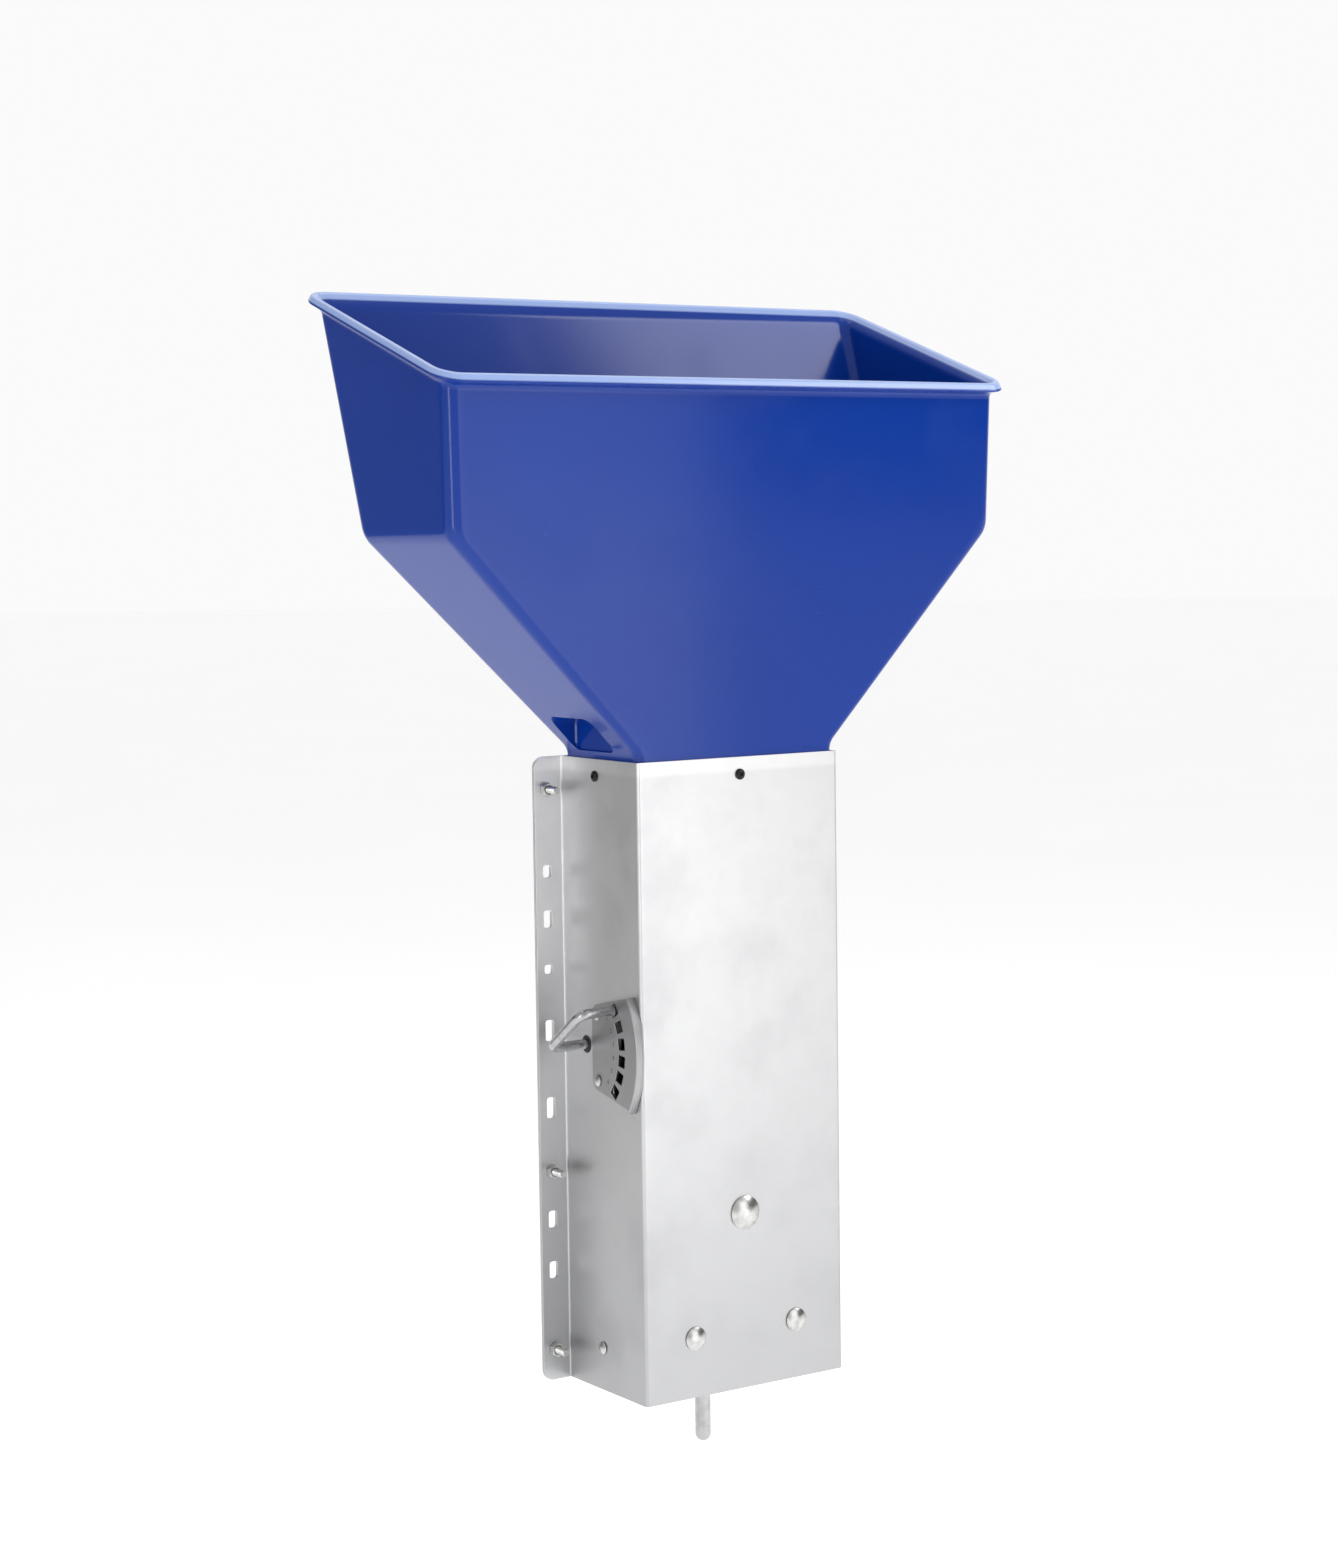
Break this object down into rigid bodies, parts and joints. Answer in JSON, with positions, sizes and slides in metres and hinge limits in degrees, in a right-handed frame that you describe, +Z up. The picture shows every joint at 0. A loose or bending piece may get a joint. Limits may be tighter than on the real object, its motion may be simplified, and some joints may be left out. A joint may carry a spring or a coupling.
{
  "type": "livestock gravity feeder",
  "caption": "Pen feeder with a wide moulded hopper on a folded steel downpipe, a lever-set metering gate and a swinging trigger rod.",
  "frame": {"origin": "centre of the back plate's rear face, which bolts to the pen", "axes": "+X to the feeder's right seen from the front, +Y to the rear, +Z up"},
  "size_m": [0.536, 0.2201, 0.9262],
  "materials": {
    "sheet_steel": "rolled stainless sheet, softly brushed",
    "bar_steel": "bright drawn bar",
    "plated_fixings": "zinc plated",
    "hopper_plastic": "glossy moulded plastic",
    "black_screw": "black oxide",
    "black_nylon": "moulded nylon"
  },
  "bodies": {
    "feeder": {"front_shell": "sheet_steel", "back_plate": "sheet_steel", "index_plate": "sheet_steel", "feed_ledge": "sheet_steel", "lever_spring": "bar_steel", "flange_stud_left_upper": "plated_fixings", "flange_stud_left_middle": "plated_fixings", "flange_stud_left_lower": "plated_fixings", "flange_stud_right_upper": "plated_fixings", "flange_stud_right_middle": "plated_fixings", "flange_stud_right_lower": "plated_fixings", "flange_nut_left_upper": "plated_fixings", "flange_nut_left_middle": "plated_fixings", "flange_nut_left_lower": "plated_fixings", "flange_nut_right_upper": "plated_fixings", "flange_nut_right_middle": "plated_fixings", "flange_nut_right_lower": "plated_fixings", "index_rivet_upper": "plated_fixings", "index_rivet_lower": "plated_fixings", "trigger_bolt": "plated_fixings", "trigger_lock_nut": "plated_fixings", "trigger_end_nut": "plated_fixings", "trigger_spacer": "plated_fixings", "ledge_front_bolt_left": "plated_fixings", "ledge_front_bolt_right": "plated_fixings", "ledge_front_nut_left": "plated_fixings", "ledge_front_nut_right": "plated_fixings", "ledge_side_bolt_left": "plated_fixings", "ledge_side_bolt_right": "plated_fixings", "ledge_side_nut_left": "plated_fixings", "ledge_side_nut_right": "plated_fixings", "hopper": "hopper_plastic", "hopper_screw_front": "black_screw", "hopper_screw_left": "black_screw", "hopper_screw_right": "black_screw", "shaft_bush_left": "black_nylon", "shaft_bush_right": "black_nylon"},
    "gate": {"metering_gate": "sheet_steel"},
    "lever": {"adjuster_lever": "bar_steel", "lever_drive_pin": "bar_steel", "lever_collar": "bar_steel"},
    "hanger": {"trigger_hanger": "bar_steel", "hanger_pin": "bar_steel"},
    "trigger": {"trigger_rod": "bar_steel", "sweeper_disc": "sheet_steel", "sweeper_set_screw": "bar_steel"}
  },
  "joints": [
    {"name": "gate_adjust", "type": "hinge", "parent": "feeder", "child": "gate", "pos_m": [0, -0.0343, 0.024], "axis": [1, 0, 0], "range_deg": [0, 72]},
    {"name": "lever_pull", "type": "slide", "parent": "gate", "child": "lever", "axis": [1, 0, 0], "range_m": [0, 0.006], "deforming": ["lever_spring"]},
    {"name": "trigger_side_swing", "type": "hinge", "parent": "feeder", "child": "hanger", "pos_m": [0, -0.0513, -0.1095], "axis": [0, 1, 0], "range_deg": [-12, 12]},
    {"name": "trigger_fore_swing", "type": "hinge", "parent": "hanger", "child": "trigger", "pos_m": [0, -0.0513, -0.1355], "axis": [1, 0, 0], "range_deg": [-12, 12]}
  ]
}
